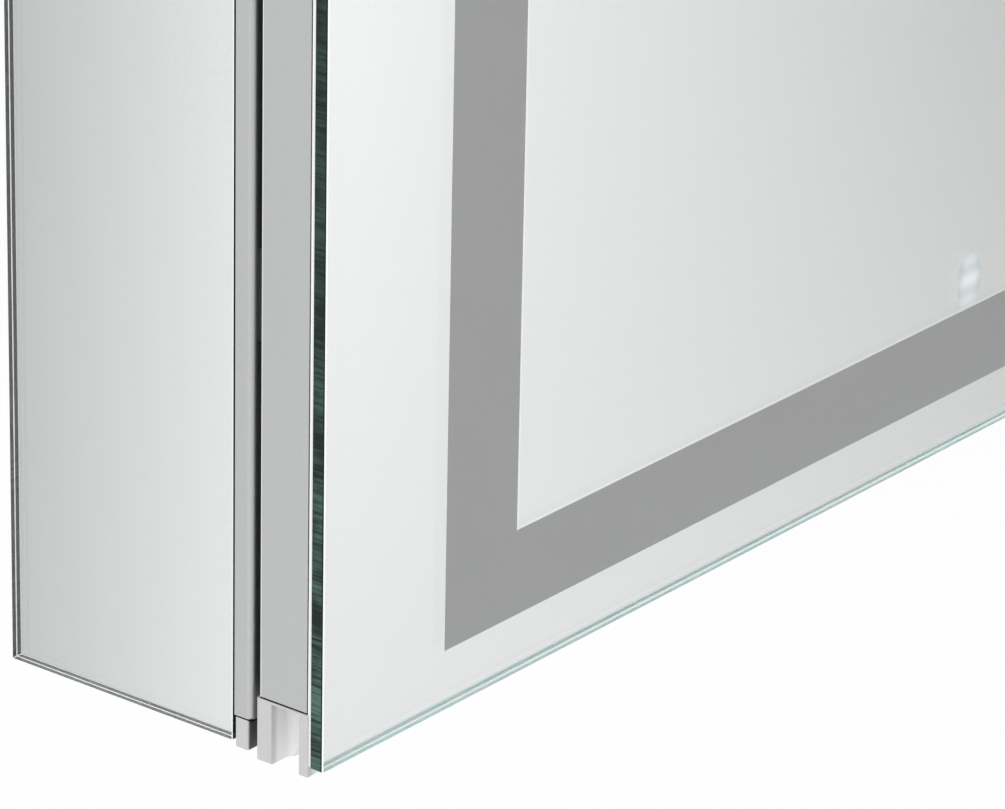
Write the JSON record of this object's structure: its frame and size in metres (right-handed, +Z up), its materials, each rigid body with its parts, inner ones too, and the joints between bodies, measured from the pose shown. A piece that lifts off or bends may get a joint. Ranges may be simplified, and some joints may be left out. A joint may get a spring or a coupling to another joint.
{
  "type": "medicine cabinet with mirror",
  "caption": "Wall-hung bathroom cabinet with aluminium frame, mirrored sides, glass shelves and a full-size mirror door with a frosted light band and touch mark.",
  "frame": {"origin": "centre of the flat wall face at the back of the cabinet", "axes": "+Y into the wall, -Y out of the door's glass, +X to the hinge side, +Z up"},
  "size_m": [0.6616, 0.122, 0.7686],
  "materials": {
    "front_glass": "polished float glass with a ground edge",
    "side_mirror": "silvered glass, ground edge",
    "inner_mirror": "silvered glass",
    "silvering": "silver coating behind the glass",
    "shelf_glass": "clear, polished edge",
    "frost": "sandblasted",
    "frost_mark": "sandblasted",
    "diffuser": "opal",
    "light_chip": "matt",
    "circuit_board": "matt",
    "film": "satin",
    "foam": "matt foam",
    "black_plastic": "matt",
    "white_plastic": "semi gloss",
    "rubber": "matt",
    "anodised_frame": "satin anodised",
    "anodised_post": "satin anodised",
    "satin_cap": "satin silver",
    "painted_panel": "satin silver powder coat",
    "zinc_sheet": "zinc coated",
    "hinge_steel": "satin",
    "chrome": "bright"
  },
  "bodies": {
    "cabinet": {"back_mirror": "inner_mirror", "back_mirror_tapes": "foam", "back_panel": "zinc_sheet", "bottom_panel": "painted_panel", "cable_gland": "rubber", "door_seal": "rubber", "front_post_left": "anodised_post", "front_post_right": "anodised_post", "front_rail_bottom": "anodised_post", "front_rail_top": "anodised_post", "glass_shelf_1": "shelf_glass", "glass_shelf_2": "shelf_glass", "glass_shelf_3": "shelf_glass", "hinge_leaf_cabinet": "hinge_steel", "hinge_pin": "hinge_steel", "hinge_screws_cabinet": "chrome", "magnet_catches": "black_plastic", "peg_strips_left": "anodised_post", "peg_strips_right": "anodised_post", "post_cap_bottom_left": "satin_cap", "post_cap_bottom_right": "satin_cap", "post_cap_top_left": "satin_cap", "post_cap_top_right": "satin_cap", "power_supply": "white_plastic", "rear_angle_left": "anodised_post", "rear_angle_right": "anodised_post", "shelf_pegs": "chrome", "side_mirror_left": "side_mirror", "side_mirror_right": "side_mirror", "side_mirror_tapes": "foam", "side_panel_left": "painted_panel", "side_panel_right": "painted_panel", "terminal_block": "white_plastic", "top_panel": "painted_panel", "wiring_cover": "painted_panel"},
    "door": {"centre_silvering": "silvering", "demister_pad": "film", "door_cap_bottom_left": "satin_cap", "door_cap_bottom_right": "satin_cap", "door_cap_top_left": "satin_cap", "door_cap_top_right": "satin_cap", "door_rail_bottom": "anodised_frame", "door_rail_top": "anodised_frame", "door_stile_left": "anodised_frame", "door_stile_right": "anodised_frame", "front_glass": "front_glass", "frosted_band": "frost", "glass_tape": "foam", "hinge_leaf_door": "hinge_steel", "hinge_screws_door": "chrome", "inner_mirror": "inner_mirror", "inner_mirror_gasket": "rubber", "light_carrier": "anodised_frame", "light_chips": "light_chip", "light_diffuser": "diffuser", "light_strip": "circuit_board", "margin_silvering": "silvering", "strike_plates": "hinge_steel", "touch_mark": "frost_mark", "touch_sensor": "black_plastic"}
  },
  "joints": [
    {"name": "door_swing", "type": "hinge", "parent": "cabinet", "child": "door", "pos_m": [0.3302, -0.09625, 0], "axis": [0, 0, 1], "range_deg": [0, 170]}
  ]
}
